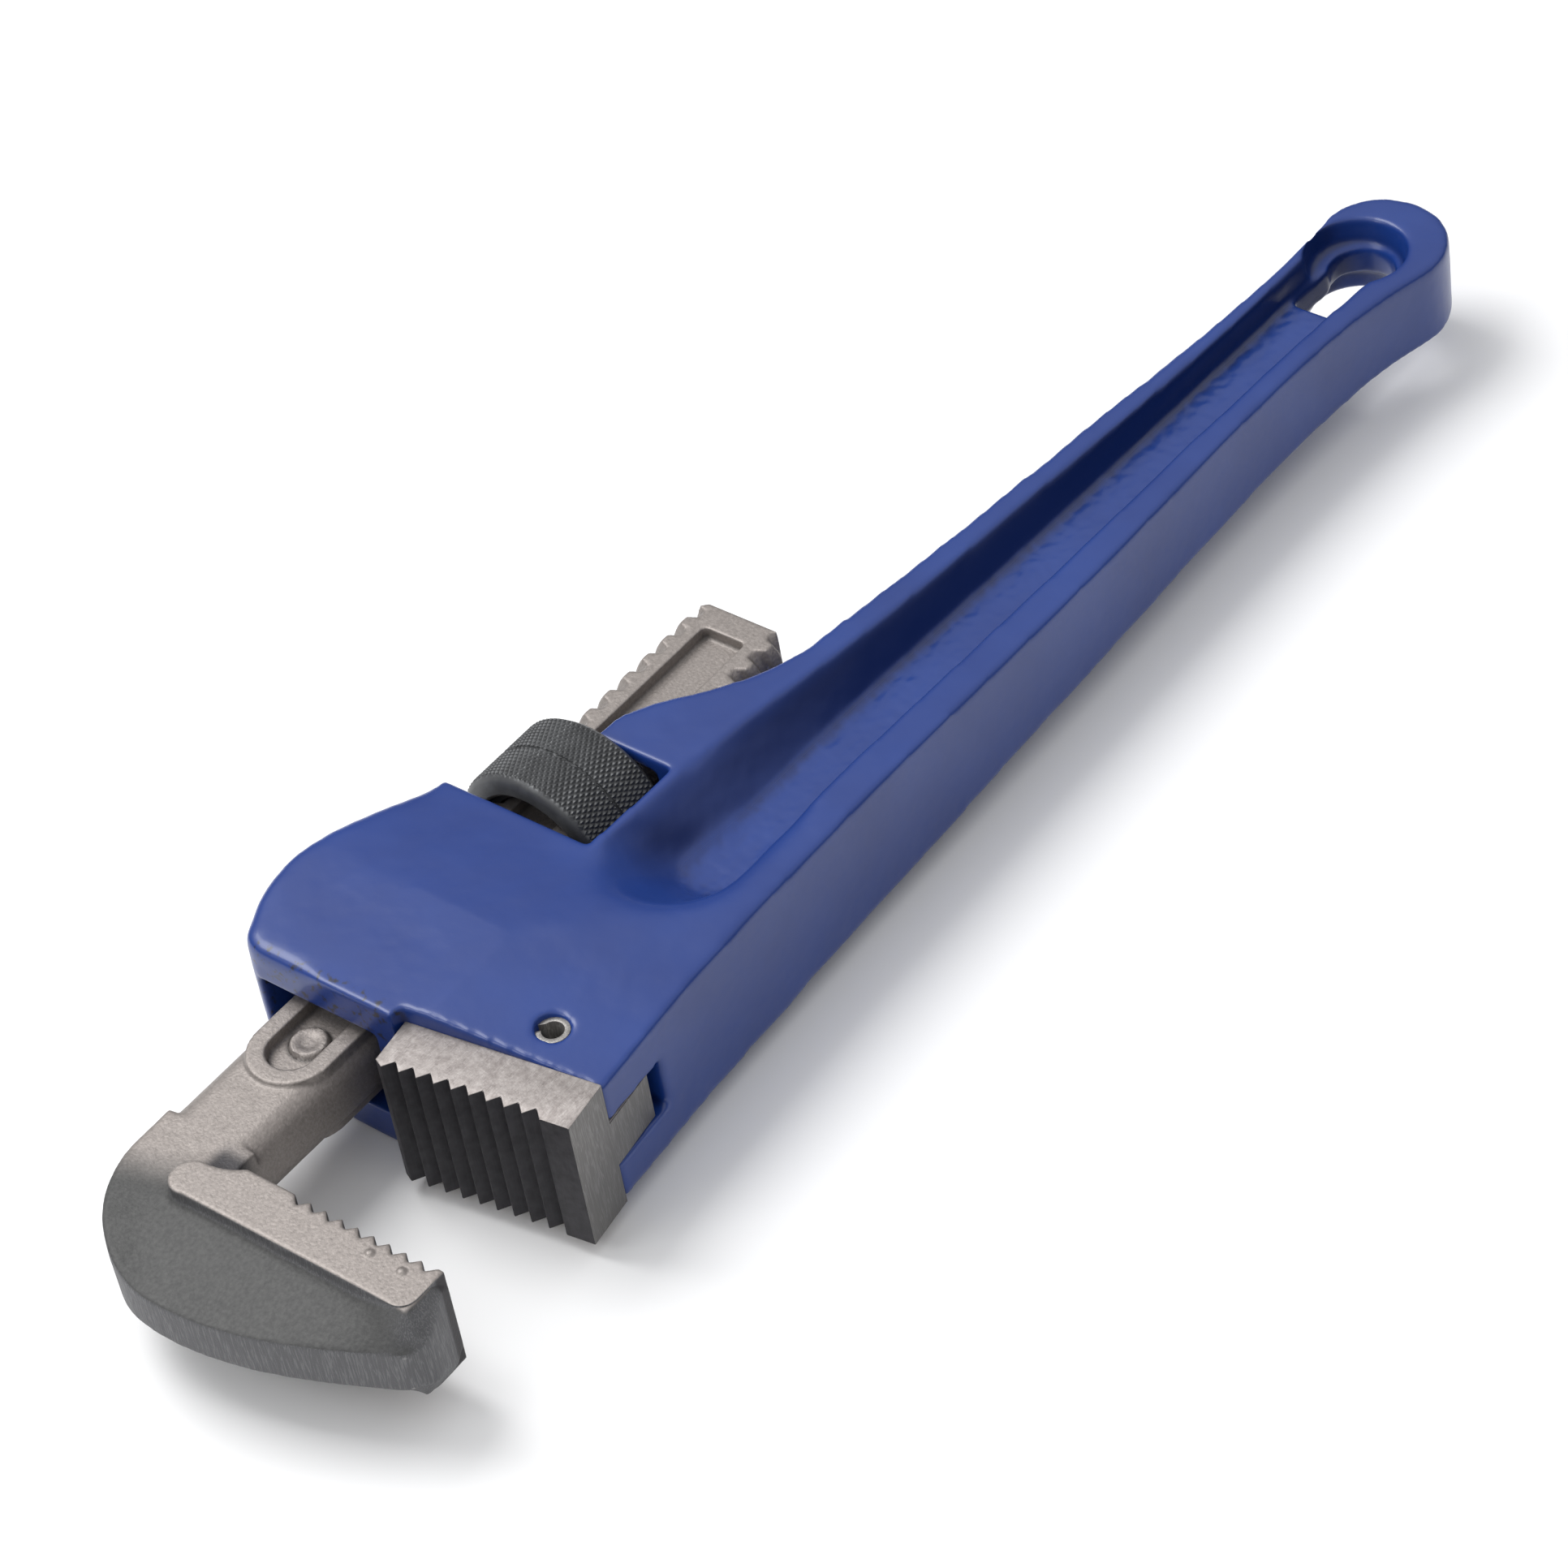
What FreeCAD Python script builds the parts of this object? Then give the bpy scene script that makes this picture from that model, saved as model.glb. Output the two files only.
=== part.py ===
import FreeCAD, Part
import math
import os

import Sketcher

# Leader-pattern pipe wrench, 350 mm class, lying on its side.
# X runs along the hook jaw's shank toward the end of the handle, Y toward the wrench's back,
# Z up through its thickness. The shank's axis is on y = 0. Every piece is drawn about the
# middle plane and then raised by head_half, so the side of the head lies on z = 0.

V = FreeCAD.Vector
doc = FreeCAD.newDocument("pipe_wrench")
sheet = doc.addObject("Spreadsheet::Sheet", "Params")

SIZES = [
    ("head_half", 17.5, "half thickness of the head"),
    ("front_half", 13.2, "half thickness of the head at its front edge"),
    ("guard_half", 14.8, "half thickness of the handle at the nut window"),
    ("grip_half", 11.3, "half thickness of the handle behind the guard"),
    ("tail_half", 8.4, "half thickness of the handle at its end"),
    ("web_half", 3.0, "half thickness of the web between the channels"),
    ("slot_half", 10.0, "half width of the opening for the shank"),
    ("slot_front", 12.4, "shank axis to the front wall of its opening"),
    ("mouth_back", 14.2, "shank axis to the back wall of its opening, at the mouth"),
    ("cavity_back", 12.8, "the same at the nut window"),
    ("spring_seat", 14.6, "shank axis to the recess that holds the leaf spring"),
    ("mouth_face", -11.5, "end face of the head"),
    ("window_start", 39.6, "nut window, toward the jaws"),
    ("window_end", 62.7, "nut window, toward the grip"),
    ("window_floor", -17.9, "front wall of the nut window"),
    ("guard_floor", -13.8, "floor of the channel between the guard cheeks"),
    ("jaw_lean", 8.26, "lean of the heel jaw's seat, degrees"),
    ("seat_x", -3.42, "front end of the seat"),
    ("seat_y", -56.2, "front end of the seat"),
    ("jaw_width", 28.4, "width of the heel jaw"),
    ("heel_depth", 10.57, "heel jaw block, teeth to seat"),
    ("heel_length", 38.6, "heel jaw block, along the seat"),
    ("tongue_width", 10.4, "thickness of the heel jaw's tongue"),
    ("tongue_depth", 12.0, "reach of the tongue behind the seat"),
    ("tongue_play", 3.2, "space behind the tongue"),
    ("tooth_pitch", 3.45, "jaw teeth"),
    ("tooth_depth", 2.0, "jaw teeth"),
    ("tooth_count", 10, "jaw teeth"),
    ("pin_radius", 3.0, "spring pin"),
    ("pin_wall", 1.0, "spring pin"),
    ("pin_half", 14.4, "spring pin, half length"),
    ("pin_x", 2.0, "spring pin"),
    ("pin_y", -41.3, "spring pin"),
    ("shank_half", 10.0, "half width of the hook jaw's shank"),
    ("bar_half", 6.7, "half thickness of the shank and of the hook's web"),
    ("bar_round", 4.9, "rounding of the shank's edges"),
    ("flat_half", 7.5, "half thickness of the threaded part, across its flats"),
    ("land_half", 8.2, "half width of the raised land between hook and thread"),
    ("land_start", -19.5, "middle of the land's round end"),
    ("thread_start", 17.5, "where the shank's thread starts"),
    ("last_crest", 98.6, "the thread's last crest, on the back of the shank"),
    ("shank_end", 105.0, "tail of the hook jaw"),
    ("crest_radius", 11.9, "thread of the shank, outside"),
    ("root_radius", 10.3, "thread of the shank, bottom"),
    ("thread_pitch", 5.6, "one turn of the nut moves the jaw this far"),
    ("thread_gap", 0.4, "running clearance between nut and shank"),
    ("recess_half", 4.75, "half width of the pocket in each flat of the shank"),
    ("recess_depth", 2.4, "depth of that pocket"),
    ("hook_face_x", -45.8, "tips of the hook jaw's teeth"),
    ("hook_width", 21.3, "width of the hook jaw's pad"),
    ("nut_radius", 16.8, "adjusting nut"),
    ("nut_length", 18.5, "adjusting nut"),
    ("nut_middle", 52.6, "middle of the adjusting nut"),
    ("nut_chamfer", 1.2, "ends of the adjusting nut"),
    ("leaf_thick", 0.7, "leaf spring"),
    ("leaf_width", 8.0, "leaf spring"),
    ("rivet_x", 31.0, "spring rivet"),
    ("rivet_radius", 1.5, "spring rivet"),
    ("coil_x", 71.0, "compression spring"),
    ("coil_radius", 2.7, "compression spring, middle of the wire"),
    ("wire_radius", 0.5, "compression spring"),
    ("coil_floor", -19.8, "closed end of the compression spring's bore"),
    ("coil_height", 7.3, "compression spring"),
    ("coil_turns", 5.0, "compression spring"),
]
for row, (alias, value, note) in enumerate(SIZES, start=1):
    sheet.set(f"A{row}", note)
    sheet.set(f"B{row}", str(value))
    sheet.setAlias(f"B{row}", alias)
doc.recompute()


def size(alias):
    return float(sheet.get(alias))


def bind(feature, **links):
    """Tie properties to expressions of the sheet. A double underscore stands for a dot."""
    for name, expression in links.items():
        feature.setExpression(name.replace("__", "."), expression)
    return feature


def new_body(name):
    body = doc.addObject("PartDesign::Body", name)
    body.Label = name
    return bind(body, Placement__Base__z="Params.head_half")


def origin_part(body, role):
    return next(f for f in body.Origin.OriginFeatures if f.Role == role)


def new_sketch(body, name, plane="XY_Plane", offset="0"):
    """Sketch on one of the body's planes, moved off it along the plane's normal."""
    sketch = body.newObject("Sketcher::SketchObject", name)
    sketch.AttachmentSupport = [(origin_part(body, plane), "")]
    sketch.MapMode = "FlatFace"
    return bind(sketch, AttachmentOffset__Base__z=offset)


def loop(sketch, start, *runs):
    """Closed outline: a run of one point is a line, of two an arc, of more a smooth curve."""
    here = V(*start, 0)
    for run in runs:
        points = [here] + [V(x, y, 0) for x, y in run]
        if len(points) == 2:
            sketch.addGeometry(Part.LineSegment(*points), False)
        elif len(points) == 3:
            sketch.addGeometry(Part.Arc(*points), False)
        else:
            curve = Part.BSplineCurve()
            curve.interpolate(points)
            sketch.addGeometry(curve, False)
        here = points[-1]


def corners(sketch, *points):
    """Closed outline of straight lines."""
    loop(sketch, points[0], *[[p] for p in points[1:]], [points[0]])


def box(sketch, x0, x1, y0, y1):
    corners(sketch, (x0, y0), (x1, y0), (x1, y1), (x0, y1))


def circle(sketch, x, y, radius):
    """Circle whose radius follows an expression of the sheet."""
    index = sketch.addGeometry(Part.Circle(V(x, y, 0), V(0, 0, 1), 1.0), False)
    number = sketch.addConstraint(Sketcher.Constraint("Radius", index, 1.0))
    sketch.setExpression(f"Constraints[{number}]", radius)


def extrude(body, sketch, kind, length, side="Symmetric", back=False):
    """Pad or Pocket. A symmetric one takes its whole width, half of it to each side."""
    feature = body.newObject(f"PartDesign::{kind}", f"{sketch.Name}_{kind.lower()}")
    feature.Profile = sketch
    feature.SideType = side
    feature.Reversed = back
    return bind(feature, Length=length)


def wind(body, sketch, kind, axis, pitch, height):
    """Sweep a profile along a helix: SubtractiveHelix for a groove, AdditiveHelix for a rib."""
    feature = body.newObject(f"PartDesign::{kind}", sketch.Name + "_helix")
    feature.Profile = sketch
    feature.ReferenceAxis = (origin_part(body, axis), [""])
    feature.Mode = "pitch-height-angle"
    return bind(feature, Pitch=pitch, Height=height)


def seat_point(behind, along):
    """A point of the plan in the heel jaw's own axes: behind its seat, and along the seat."""
    lean = math.radians(size("jaw_lean"))
    x = size("seat_x") + behind * math.cos(lean) - along * math.sin(lean)
    y = size("seat_y") + behind * math.sin(lean) + along * math.cos(lean)
    return (x, y)


# ---- handle: one casting, with the housing, the nut window, the guard and the grip ----
HEAD_BACK = [(-6.2, 19.4), (8.8, 23.6), (28.8, 19.0), (39.6, 14.8)]
GUARD_EDGE = [(68.0, -0.9), (73.5, -3.0), (81.5, -9.4), (91.5, -15.6), (102.0, -18.6)]
GRIP_BACK = [(142.0, -22.5), (193.0, -26.9), (223.0, -29.5), (254.0, -29.4)]
GRIP_END = [(262.2, -33.6), (265.2, -41.5), (262.4, -50.0), (256.0, -55.0), (247.0, -55.6)]
GRIP_FRONT = [(236.0, -53.0), (217.0, -51.0), (157.0, -51.3), (69.0, -52.4), (22.7, -53.9)]

# The channel's outline: x, then y on its floor, then y at rim level.
RIM_Z = 12.0
CHANNEL_BACK = [
    (50.0, -29.0, -21.2), (75.0, -29.0, -22.0), (100.0, -29.2, -24.2),
    (150.0, -31.2, -27.2), (200.0, -32.4, -31.6), (240.0, -33.4, -32.3),
]
CHANNEL_FRONT = [
    (240.0, -46.4, -47.6), (200.0, -44.6, -45.6), (150.0, -43.4, -45.0), (100.0, -42.0, -44.3),
    (50.0, -40.5, -43.7),
]
CHANNEL_TIP = (256.0, 257.4, -40.0)
CHANNEL_HEAD = (47.0, 36.0, -34.5)
HEAD_RAMP = 10.0
HOLE_START = 233.0


def channel_outline(sketch, z):
    """The channel leans outward from its floor to its rim, so its outline depends on height.

    At the head its floor starts later than its rim, which leaves a ramp up to the housing.
    """
    rise = (z - size("web_half")) / (RIM_Z - size("web_half"))
    back, front = [
        [(x + HEAD_RAMP * (1 - rise) * (x < 60), floor + (rim - floor) * rise)
         for x, floor, rim in line]
        for line in (CHANNEL_BACK, CHANNEL_FRONT)
    ]
    tip, head = [(a + (b - a) * rise, y) for a, b, y in (CHANNEL_TIP, CHANNEL_HEAD)]
    loop(sketch, back[0], back[1:], [tip, front[0]], front[1:], [head, back[0]])


def handle():
    body = new_body("handle")
    top, face = size("head_half"), size("mouth_face")
    start, end, floor = size("window_start"), size("window_end"), size("window_floor")
    seat_top = seat_point(0, size("heel_length") + 0.3)
    plan = new_sketch(body, "handle_plan")
    loop(
        plan,
        (face, seat_top[1]),
        [(face, 14.0)],
        [(-9.9, 17.2), HEAD_BACK[0]],
        HEAD_BACK[1:],
        [(start, floor)],
        [(end, floor)],
        [(end, GUARD_EDGE[0][1])],
        [GUARD_EDGE[0]],
        GUARD_EDGE[1:],
        GRIP_BACK,
        GRIP_END,
        GRIP_FRONT,
        [seat_point(0, 0)],
        [seat_top],
        [(face, seat_top[1])],
    )
    extrude(body, plan, "Pad", "2 * Params.head_half")

    # The casting is thickest around the shank, thinner toward its front edge and its end.
    side = new_sketch(body, "handle_side", "XZ_Plane")
    draft = new_sketch(body, "handle_draft", "YZ_Plane")
    thinning = [(23.0, top - 1.0), (35.0, size("guard_half")), (75.0, 12.9)]
    thinning += [(115.0, size("grip_half")), (200.0, 9.4), (270.0, size("tail_half"))]
    slope = [(-57.0, size("front_half"))]
    for up in (1, -1):
        for sketch, first, line in ((side, 14.0, thinning), (draft, -23.0, slope)):
            run = [(along, up * z) for along, z in line]
            last = line[-1][0]
            loop(sketch, (first, up * top), run, [(last, up * (top + 1))],
                 [(first, up * (top + 1))], [(first, up * top)])
    extrude(body, side, "Pocket", "200")
    extrude(body, draft, "Pocket", "600")

    for up, word in ((1, "upper"), (-1, "lower")):
        levels = []
        for level, z in (("floor", size("web_half")), ("rim", top + 1)):
            outline = new_sketch(body, f"{word}_channel_{level}", offset=str(up * z))
            channel_outline(outline, z)
            levels.append(outline)
        channel = body.newObject("PartDesign::SubtractiveLoft", f"{word}_channel")
        channel.Profile = levels[0]
        channel.Sections = [levels[1]]
        channel.Ruled = True

    hole = new_sketch(body, "hanging_hole")
    loop(
        hole,
        (HOLE_START, -34.2),
        [(245.0, -34.6)],
        [(254.8, -40.0), (245.0, -45.4)],
        [(HOLE_START, -45.8)],
        [(HOLE_START, -34.2)],
    )
    extrude(body, hole, "Pocket", "2 * Params.head_half")

    shank_way = new_sketch(body, "shank_way")
    front = -size("slot_front")
    corners(shank_way, (face - 1, front), (start + 1, front), (start + 1, size("cavity_back")),
            (face - 1, size("mouth_back")))
    box(shank_way, end - 1, 110.0, size("guard_floor"), 5.0)
    extrude(body, shank_way, "Pocket", "2 * Params.slot_half")
    spring_way = new_sketch(body, "spring_way")
    box(spring_way, -4.5, 36.0, 0.0, size("spring_seat"))
    extrude(body, spring_way, "Pocket", "Params.leaf_width + 1")

    tongue_way = new_sketch(body, "tongue_way")
    reach = size("tongue_depth") + size("tongue_play")
    far = size("heel_length") - 3.4
    corners(tongue_way, seat_point(-1, -4), seat_point(reach, -4), seat_point(reach, far),
            seat_point(-1, far))
    extrude(body, tongue_way, "Pocket", "Params.tongue_width + 0.4")

    pin_hole = new_sketch(body, "pin_hole")
    circle(pin_hole, size("pin_x"), size("pin_y"), "Params.pin_radius")
    extrude(body, pin_hole, "Pocket", "2 * Params.head_half")
    rivet_hole = new_sketch(body, "rivet_hole", "XZ_Plane", "-Params.cavity_back")
    circle(rivet_hole, size("rivet_x"), 0.0, "Params.rivet_radius")
    extrude(body, rivet_hole, "Pocket", "10", "One side")
    coil_bore = new_sketch(body, "coil_bore", "XZ_Plane", "-Params.coil_floor")
    circle(coil_bore, size("coil_x"), 0.0, "Params.coil_radius + Params.wire_radius + 0.4")
    extrude(body, coil_bore, "Pocket", "10", "One side")


def tooth_line(first, last, tip_at):
    """Zigzag of a row of teeth, given by the tips' places along it: (place, depth) pairs."""
    row = [(first, 0.0)]
    for tip in tip_at[:-1]:
        row += [(tip, 0.0), (tip + size("tooth_pitch") / 2, size("tooth_depth"))]
    return row + [(tip_at[-1], 0.0), (last, 0.0)]


def heel_jaw():
    body = new_body("heel_jaw")
    depth, length, pitch = size("heel_depth"), size("heel_length"), size("tooth_pitch")
    tips = [5.7 + pitch * i for i in range(int(size("tooth_count")))]
    face = [(place, cut - depth) for place, cut in tooth_line(0.0, tips[-1], tips)[:-1]]
    block = new_sketch(body, "heel_block")
    outline = [seat_point(behind, along) for along, behind in face]
    corners(block, *outline, seat_point(1.2 - depth, length), seat_point(0, length),
            seat_point(0, 0))
    extrude(body, block, "Pad", "Params.jaw_width")
    tongue = new_sketch(body, "heel_tongue")
    reach = size("tongue_depth")
    corners(tongue, seat_point(-1, 0), seat_point(reach, 0), seat_point(reach, length - 4),
            seat_point(-1, length - 4))
    extrude(body, tongue, "Pad", "Params.tongue_width")
    hole = new_sketch(body, "heel_hole")
    circle(hole, size("pin_x"), size("pin_y"), "Params.pin_radius")
    extrude(body, hole, "Pocket", "Params.jaw_width")


def heel_jaw_pin():
    """Rolled spring pin: a sleeve with a slit along it."""
    body = new_body("heel_jaw_pin")
    sleeve = new_sketch(body, "pin_sleeve")
    x, y = size("pin_x"), size("pin_y")
    circle(sleeve, x, y, "Params.pin_radius")
    circle(sleeve, x, y, "Params.pin_radius - Params.pin_wall")
    extrude(body, sleeve, "Pad", "2 * Params.pin_half")
    slit = new_sketch(body, "pin_slit")
    corners(slit, (x - 0.5, y + 1), (x - 3.5, y + 4), (x - 2.5, y + 5), (x + 0.5, y + 2))
    extrude(body, slit, "Pocket", "2 * Params.pin_half")


# ---- hook jaw: forged hook, shank, raised land and thread in one piece ----
HOOK_BACK = [
    (-57.4, 7.8), (-66.0, 1.2), (-71.6, -8.8), (-72.4, -19.0), (-67.2, -41.6), (-60.6, -56.5),
]
HOOK_NOSE = [(-58.0, -59.7), (-53.0, -59.9)]
PAD_BACK = -55.7
PAD_TOP = -3.3
PAD_END = -57.3


def hook_jaw():
    body = new_body("hook_jaw")
    face, half = size("hook_face_x"), size("shank_half")
    web = new_sketch(body, "hook_web")
    loop(
        web,
        (-40.0, half),
        [(-47.8, half)],
        HOOK_BACK,
        HOOK_NOSE,
        [(face, PAD_END)],
        [(face, -half - 2.0)],
        [(face + 0.6, -half - 0.6), (face + 2.0, -half)],
        [(-40.0, -half)],
        [(-40.0, half)],
    )
    extrude(body, web, "Pad", "2 * Params.bar_half")

    bar = new_sketch(body, "hook_bar", "YZ_Plane", "-47.8")
    thick, bend = size("bar_half"), size("bar_round")
    flat, edge, skew = half - bend, thick - bend, bend * math.sqrt(0.5)
    loop(
        bar,
        (-flat, -thick),
        [(flat, -thick)],
        [(flat + skew, -edge - skew), (half, -edge)],
        [(half, edge)],
        [(flat + skew, edge + skew), (flat, thick)],
        [(-flat, thick)],
        [(-flat - skew, edge + skew), (-half, edge)],
        [(-half, -edge)],
        [(-flat - skew, -edge - skew), (-flat, -thick)],
    )
    extrude(body, bar, "Pad", "Params.thread_start + 47.8", "One side")

    jaw_pad = new_sketch(body, "hook_pad")
    loop(
        jaw_pad,
        (PAD_BACK, PAD_END + 3.0),
        [(PAD_BACK, PAD_TOP - 5.0)],
        [(PAD_BACK + 3.7, PAD_TOP), (face - 2.6, PAD_TOP - 4.4)],
        [(face - 1.7, PAD_TOP - 8.2), (face, PAD_TOP - 11.0)],
        [(face, PAD_END)],
        [(PAD_BACK + 3.0, PAD_END)],
        [(PAD_BACK + 0.9, PAD_END + 0.9), (PAD_BACK, PAD_END + 3.0)],
    )
    extrude(body, jaw_pad, "Pad", "Params.hook_width")

    land = new_sketch(body, "hook_land")
    reach, left = size("land_half"), size("land_start")
    loop(
        land,
        (left, -reach),
        [(size("thread_start") + 1, -reach)],
        [(size("thread_start") + 1, reach)],
        [(left, reach)],
        [(left - reach, 0.0), (left, -reach)],
    )
    extrude(body, land, "Pad", "2 * Params.flat_half")

    screw = new_sketch(body, "hook_screw", "YZ_Plane", "Params.thread_start")
    radius, flat_z = size("crest_radius"), size("flat_half")
    chord = math.sqrt(radius**2 - flat_z**2)
    loop(
        screw,
        (chord, -flat_z),
        [(radius, 0.0), (chord, flat_z)],
        [(-chord, flat_z)],
        [(-radius, 0.0), (-chord, -flat_z)],
        [(chord, -flat_z)],
    )
    extrude(body, screw, "Pad", "Params.shank_end - Params.thread_start", "One side")
    tail = new_sketch(body, "hook_tail")
    end = size("shank_end")
    for up in (1, -1):
        tip = (end + 1, up * (radius - 5.0))
        corners(tail, tip, (end + 1, up * (radius + 1)), (end - 5.0, up * (radius + 1)))
    extrude(body, tail, "Pocket", "2 * Params.crest_radius")

    groove = new_sketch(body, "hook_groove")
    root, pitch = size("root_radius"), size("thread_pitch")
    first = size("last_crest") - 14.5 * pitch
    corners(groove, (first - 0.9, root), (first + 0.9, root), (first + 2.1, radius + 0.6),
            (first - 2.1, radius + 0.6))
    wind(body, groove, "SubtractiveHelix", "X_Axis", "Params.thread_pitch", "92")

    teeth = new_sketch(body, "hook_teeth")
    step = size("tooth_pitch")
    for i in range(int(size("tooth_count")) - 1):
        low = PAD_END + 1.3 + i * step
        valley = (face - size("tooth_depth") + 0.3, low + step / 2)
        corners(teeth, (face + 0.01, low), (face + 0.01, low + step), valley)
    extrude(body, teeth, "Pocket", "Params.hook_width")

    deep, wide = size("flat_half") - size("recess_depth"), size("recess_half")
    for up, word in ((1, "upper"), (-1, "lower")):
        recess = new_sketch(body, f"{word}_recess", offset=str(up * deep))
        loop(
            recess,
            (left, -wide),
            [(98.5, -wide)],
            [(99.2, -wide + 0.3), (99.5, -wide + 1.0)],
            [(99.5, wide - 1.0)],
            [(99.2, wide - 0.3), (98.5, wide)],
            [(left, wide)],
            [(left - wide, 0.0), (left, -wide)],
        )
        extrude(body, recess, "Pocket", "5", "One side", back=up > 0)


def adjusting_nut():
    body = new_body("adjusting_nut")
    bind(body, Placement__Base__x="Params.nut_middle")
    outer, chamfer = size("nut_radius"), size("nut_chamfer")
    bore, half = size("crest_radius") + size("thread_gap"), size("nut_length") / 2
    ring = new_sketch(body, "nut_ring")
    corners(
        ring, (-half, bore + 0.6), (-half + 0.6, bore), (half - 0.6, bore), (half, bore + 0.6),
        (half, outer - chamfer), (half - chamfer, outer),
        (0.35, outer), (0.35, outer - 0.5), (-0.35, outer - 0.5), (-0.35, outer),
        (chamfer - half, outer), (-half, outer - chamfer),
    )
    turned = body.newObject("PartDesign::Revolution", "nut_blank")
    turned.Profile = ring
    turned.ReferenceAxis = (origin_part(body, "X_Axis"), [""])
    turned.Angle = 360.0
    rib = new_sketch(body, "nut_rib")
    pitch, inner = size("thread_pitch"), size("root_radius") + size("thread_gap")
    first = size("last_crest") - 9.5 * pitch - size("nut_middle")
    corners(rib, (first - 0.5, inner), (first + 0.5, inner), (first + 1.3, bore + 0.2),
            (first - 1.3, bore + 0.2))
    wind(body, rib, "AdditiveHelix", "X_Axis", "Params.thread_pitch", "2.5 * Params.thread_pitch")


# ---- springs inside the housing ----
LEAF_LINE = [(35.0, 13.95), (27.0, 13.95), (18.0, 13.2), (10.0, 11.3), (4.5, 10.75), (-1.5, 11.7)]


def leaf_spring():
    body = new_body("leaf_spring")
    half = size("leaf_thick") / 2
    upper = [(x, y + half) for x, y in LEAF_LINE]
    lower = [(x, y - half) for x, y in reversed(LEAF_LINE)]
    strip = new_sketch(body, "leaf_strip")
    loop(strip, upper[0], upper[1:], [lower[0]], lower[1:], [upper[0]])
    extrude(body, strip, "Pad", "Params.leaf_width")
    hole = new_sketch(body, "leaf_hole", "XZ_Plane")
    circle(hole, size("rivet_x"), 0.0, "Params.rivet_radius + 0.3")
    extrude(body, hole, "Pocket", "60")


def spring_rivet():
    body = new_body("spring_rivet")
    bind(body, Placement__Base__x="Params.rivet_x")
    stem = new_sketch(body, "rivet_stem", "XZ_Plane", "-13.2")
    circle(stem, 0.0, 0.0, "Params.rivet_radius")
    extrude(body, stem, "Pad", "4.6", "One side", back=True)
    head = new_sketch(body, "rivet_head", "XZ_Plane", "-12.7")
    circle(head, 0.0, 0.0, "Params.rivet_radius + 1.2")
    extrude(body, head, "Pad", "0.6", "One side", back=True)


def coil_spring():
    body = new_body("coil_spring")
    bind(body, Placement__Base__x="Params.coil_x", Placement__Base__y="Params.coil_floor")
    wire = new_sketch(body, "coil_wire")
    circle(wire, size("coil_radius"), size("wire_radius"), "Params.wire_radius")
    height = "Params.coil_height - 2 * Params.wire_radius"
    wind(body, wire, "AdditiveHelix", "Y_Axis", f"({height}) / Params.coil_turns", height)


for build in (handle, heel_jaw, heel_jaw_pin, hook_jaw, adjusting_nut, leaf_spring, spring_rivet,
              coil_spring):
    build()
doc.recompute()

pieces = [o for o in doc.Objects if o.TypeId == "PartDesign::Body"]
for item in doc.Objects:
    faults = [word for word in item.State if word in ("Invalid", "Error")]
    if faults:
        raise RuntimeError(f"{item.Label} is {faults}")
for piece in pieces:
    if piece.Shape.isNull() or not piece.Shape.isValid():
        raise RuntimeError(f"{piece.Label} has no valid shape")

os.makedirs("parts", exist_ok=True)
for piece in pieces:
    piece.Shape.exportStep(f"parts/{piece.Label}.step")
    box_of = piece.Shape.BoundBox
    spans = [round(v, 1) for v in (box_of.XLength, box_of.YLength, box_of.ZLength)]
    print(piece.Label, len(piece.Shape.Solids), "solid", spans, round(piece.Shape.Volume), "mm3")
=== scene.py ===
# %% [markdown]
# # A leader-pattern pipe wrench
# The tool is a painted cast handle with a hardened heel jaw pinned into it, a forged hook jaw
# whose threaded shank runs through the housing, and a knurled nut that moves that shank.
# The CAD model already holds every size and every joint. This lesson gives each piece the
# shape and the finish that foundry, forge, lathe and paint shop leave on the real one.
#
# The first cell loads the CAD model as a fixed frame. Every Blender piece is then made in the
# same metres and the same axes, so nothing has to be fitted afterwards.

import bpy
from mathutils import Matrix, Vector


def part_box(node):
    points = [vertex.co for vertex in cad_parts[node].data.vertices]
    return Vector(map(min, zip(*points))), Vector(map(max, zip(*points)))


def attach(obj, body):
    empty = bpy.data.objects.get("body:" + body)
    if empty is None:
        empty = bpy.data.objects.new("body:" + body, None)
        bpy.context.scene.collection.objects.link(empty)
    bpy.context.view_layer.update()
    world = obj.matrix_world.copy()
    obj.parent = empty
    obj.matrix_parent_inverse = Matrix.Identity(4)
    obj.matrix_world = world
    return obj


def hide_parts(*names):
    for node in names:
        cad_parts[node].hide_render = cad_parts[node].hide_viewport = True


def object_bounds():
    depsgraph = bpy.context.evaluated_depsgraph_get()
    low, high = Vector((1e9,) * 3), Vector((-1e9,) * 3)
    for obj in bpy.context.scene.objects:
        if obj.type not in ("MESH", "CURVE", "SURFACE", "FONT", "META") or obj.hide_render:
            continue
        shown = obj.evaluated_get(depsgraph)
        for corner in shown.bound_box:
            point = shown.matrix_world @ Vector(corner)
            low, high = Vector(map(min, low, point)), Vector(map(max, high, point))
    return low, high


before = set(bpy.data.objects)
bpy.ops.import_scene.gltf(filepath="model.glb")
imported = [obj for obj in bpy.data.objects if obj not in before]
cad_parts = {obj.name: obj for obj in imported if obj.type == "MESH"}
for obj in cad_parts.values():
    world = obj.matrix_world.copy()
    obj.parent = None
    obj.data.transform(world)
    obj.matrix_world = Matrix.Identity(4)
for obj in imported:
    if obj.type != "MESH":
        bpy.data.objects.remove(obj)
cad_low, cad_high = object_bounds()
print("CAD box, mm:", [round(1000 * v, 1) for v in (*cad_low, *cad_high)])

# %% Libraries
import math

import bpy
import numpy as np
from mathutils import Matrix, Vector

MM = 0.001
print("nodes:", sorted(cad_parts))

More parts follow.
